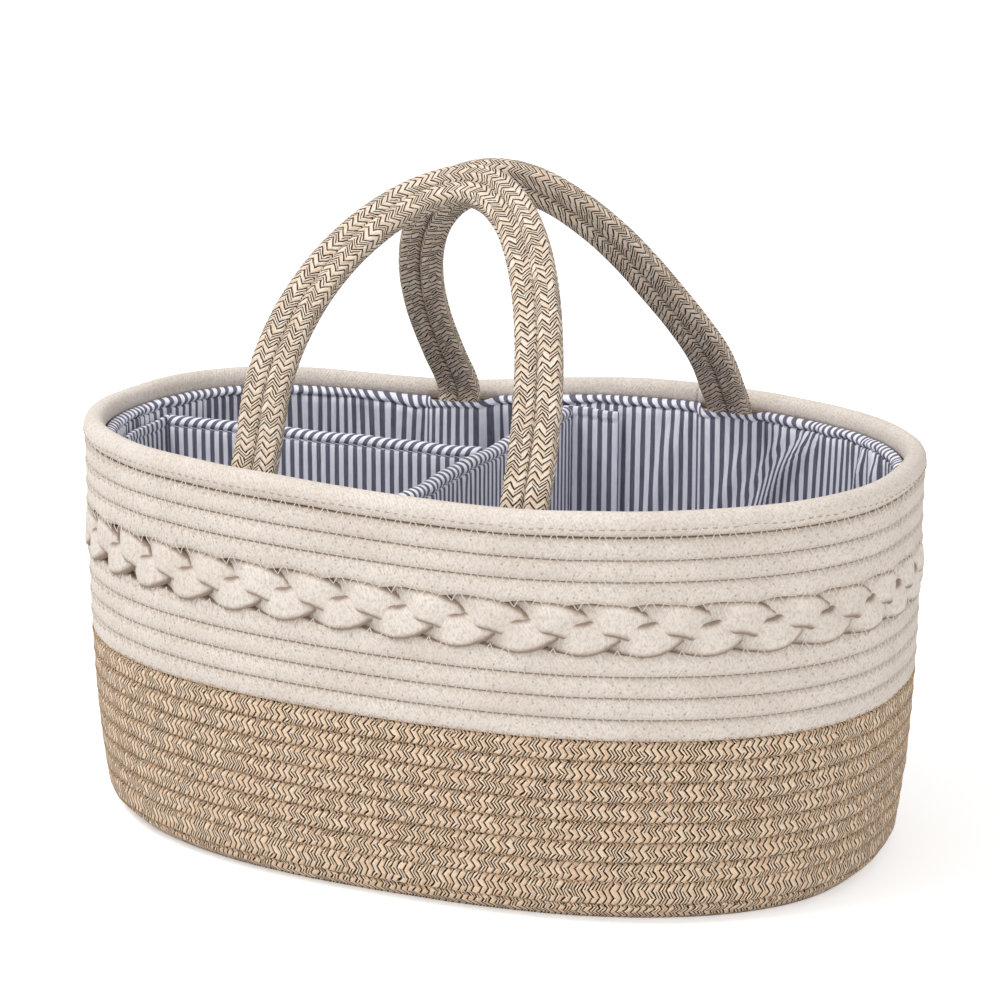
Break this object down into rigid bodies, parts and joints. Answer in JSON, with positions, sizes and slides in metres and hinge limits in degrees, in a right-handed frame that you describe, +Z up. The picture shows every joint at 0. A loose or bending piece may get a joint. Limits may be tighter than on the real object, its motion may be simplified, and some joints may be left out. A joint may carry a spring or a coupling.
{
  "type": "rope diaper caddy",
  "caption": "Oval coiled-rope caddy with a plaited band, striped cloth lining, two rope handles and a removable T-shaped divider for carrying nursery supplies.",
  "frame": {"origin": "middle of the flat underside, at the centre of the oval", "axes": "+X along the long side to the right of the pictured view, +Y from the pictured front to the back, +Z up"},
  "size_m": [0.38, 0.25, 0.2967],
  "materials": {
    "brown_rope": "matt braided cotton rope, tan with dark brown flecks",
    "white_rope": "matt cream cotton rope",
    "handle_cord": "matt braided cotton cord, tan with dark brown flecks",
    "ticking_cloth": "matt cotton ticking, slate and white stripes",
    "stiff_board": "plain stiffener board",
    "fastening_tape": "white hook and loop tape"
  },
  "bodies": {
    "basket": {"base_coil": "brown_rope", "brown_wall_coil": "brown_rope", "white_lower_coil": "white_rope", "plait_strand_1": "white_rope", "plait_strand_2": "white_rope", "plait_strand_3": "white_rope", "white_upper_coil": "white_rope", "rim_rope": "white_rope", "lining": "ticking_cloth", "tail_front_left_outer": "handle_cord", "tail_front_left_inner": "handle_cord", "tail_front_right_outer": "handle_cord", "tail_front_right_inner": "handle_cord", "tail_rear_left_outer": "handle_cord", "tail_rear_left_inner": "handle_cord", "tail_rear_right_outer": "handle_cord", "tail_rear_right_inner": "handle_cord", "loop_tape_back": "fastening_tape", "loop_tape_front": "fastening_tape", "loop_tape_left": "fastening_tape"},
    "handle_front": {"handle_front_outer_cord": "handle_cord", "handle_front_inner_cord": "handle_cord"},
    "handle_rear": {"handle_rear_outer_cord": "handle_cord", "handle_rear_inner_cord": "handle_cord"},
    "divider": {"divider_cross_cover": "ticking_cloth", "divider_long_cover": "ticking_cloth", "divider_cross_board": "stiff_board", "divider_long_board": "stiff_board", "divider_tab_back": "ticking_cloth", "divider_tab_front": "ticking_cloth", "divider_tab_left": "ticking_cloth", "hook_tape_back": "fastening_tape", "hook_tape_front": "fastening_tape", "hook_tape_left": "fastening_tape"}
  },
  "joints": [
    {"name": "handle_front_swing", "type": "hinge", "parent": "basket", "child": "handle_front", "pos_m": [0, -0.0946, 0.18903], "axis": [1, 0, 0], "range_deg": [0, 112]},
    {"name": "handle_rear_swing", "type": "hinge", "parent": "basket", "child": "handle_rear", "pos_m": [0, 0.08574, 0.18903], "axis": [-1, 0, 0], "range_deg": [0, 130]},
    {"name": "divider_lift", "type": "slide", "parent": "basket", "child": "divider", "axis": [0, 0, 1], "range_m": [0, 0.1]}
  ]
}
